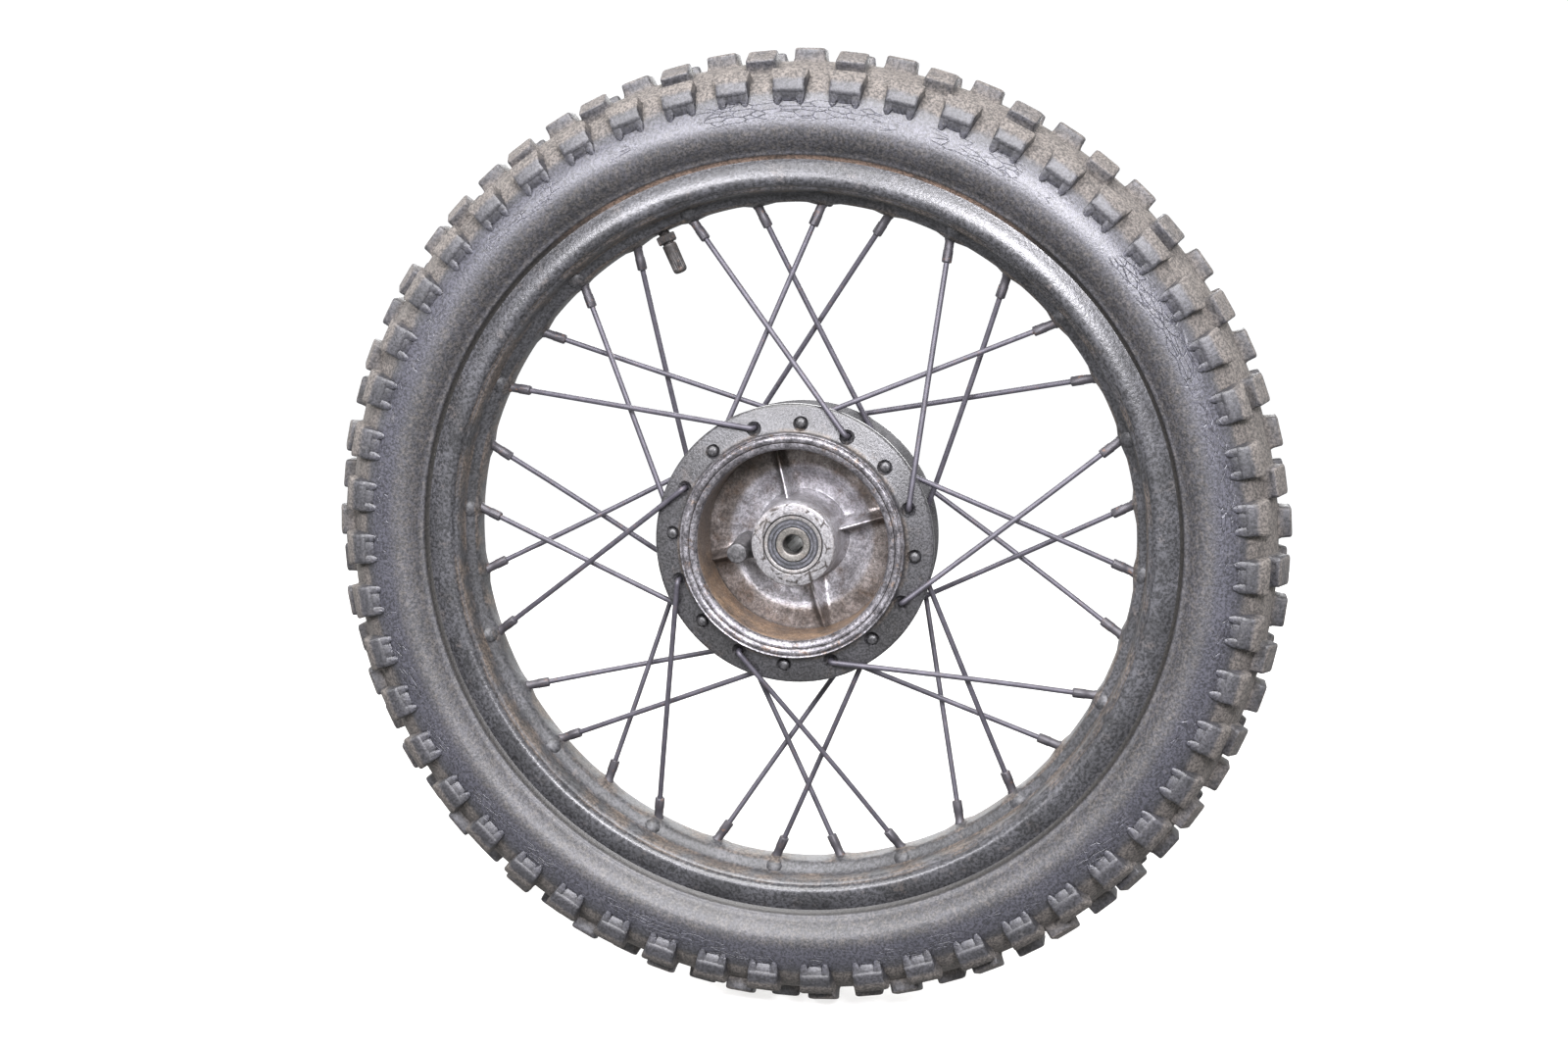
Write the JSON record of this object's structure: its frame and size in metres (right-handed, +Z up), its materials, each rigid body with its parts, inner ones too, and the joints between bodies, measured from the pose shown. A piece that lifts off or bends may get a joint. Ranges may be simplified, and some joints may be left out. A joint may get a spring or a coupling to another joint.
{
  "type": "spoked motorcycle wheel",
  "caption": "Wire-spoked front wheel with a knobby tyre on a steel rim and an open drum-brake hub that turns on sealed ball bearings.",
  "frame": {"origin": "centre of the wheel, on the axle line and in the rim's middle plane", "axes": "+Y along the axle, away from the brake drum's open side; the drum opens towards -Y; +Z up; +X completes the right-handed frame"},
  "size_m": [0.4882, 0.0762, 0.4886],
  "materials": {
    "tyre": "aged off-road tyre rubber with brown dust between the knobs",
    "tube": "black butyl rubber",
    "rim": "dark satin paint on steel, brown dirt along the flange",
    "hub": "cast aluminium, dark painted outside, bare and stained inside the drum",
    "liner": "cast iron with orange-brown surface rust",
    "turned_steel": "turned steel, dulled",
    "bearing": "ground bearing steel, slightly stained",
    "seal": "dark grey moulded seal rubber",
    "spoke": "dark satin coated steel with touches of rust",
    "valve": "tarnished, dirt-covered valve metal",
    "valve_cap": "dull dark plastic"
  },
  "bodies": {
    "axle_side": {"drum_side_bearing_inner_race": "bearing", "bearing_spacer": "turned_steel", "far_side_bearing_inner_race": "bearing", "axle_collar": "turned_steel"},
    "wheel": {"tyre": "tyre", "inner_tube": "tube", "rim": "rim", "rim_band": "tube", "hub_shell": "hub", "brake_drum_liner": "liner", "dust_seal": "seal", "valve_stem": "valve", "valve_nut": "valve", "valve_cap": "valve_cap", "drum_side_bearing_outer_race": "bearing", "drum_side_bearing_seal_minus_y": "seal", "drum_side_bearing_seal_plus_y": "seal", "far_side_bearing_outer_race": "bearing", "far_side_bearing_seal_minus_y": "seal", "far_side_bearing_seal_plus_y": "seal", "spoke_01": "spoke", "spoke_02": "spoke", "spoke_03": "spoke", "spoke_04": "spoke", "spoke_05": "spoke", "spoke_06": "spoke", "spoke_07": "spoke", "spoke_08": "spoke", "spoke_09": "spoke", "spoke_10": "spoke", "spoke_11": "spoke", "spoke_12": "spoke", "spoke_13": "spoke", "spoke_14": "spoke", "spoke_15": "spoke", "spoke_16": "spoke", "spoke_17": "spoke", "spoke_18": "spoke", "spoke_19": "spoke", "spoke_20": "spoke", "spoke_21": "spoke", "spoke_22": "spoke", "spoke_23": "spoke", "spoke_24": "spoke", "spoke_25": "spoke", "spoke_26": "spoke", "spoke_27": "spoke", "spoke_28": "spoke", "spoke_29": "spoke", "spoke_30": "spoke", "spoke_31": "spoke", "spoke_32": "spoke"},
    "drum_side_cage": {"drum_side_bearing_ball_cage": "bearing"},
    "far_side_cage": {"far_side_bearing_ball_cage": "bearing"}
  },
  "joints": [
    {"name": "wheel_spin", "type": "hinge", "parent": "axle_side", "child": "wheel", "pos_m": [0, 0, 0], "axis": [0, 1, 0], "continuous": true},
    {"name": "drum_side_cage_spin", "type": "hinge", "parent": "axle_side", "child": "drum_side_cage", "pos_m": [0, -0.0155, 0], "axis": [0, 1, 0], "continuous": true},
    {"name": "far_side_cage_spin", "type": "hinge", "parent": "axle_side", "child": "far_side_cage", "pos_m": [0, 0.0282, 0], "axis": [0, 1, 0], "continuous": true}
  ],
  "couplings": [
    {"joint": "drum_side_cage_spin", "follows": "wheel_spin", "ratio": 0.619},
    {"joint": "far_side_cage_spin", "follows": "wheel_spin", "ratio": 0.619}
  ]
}
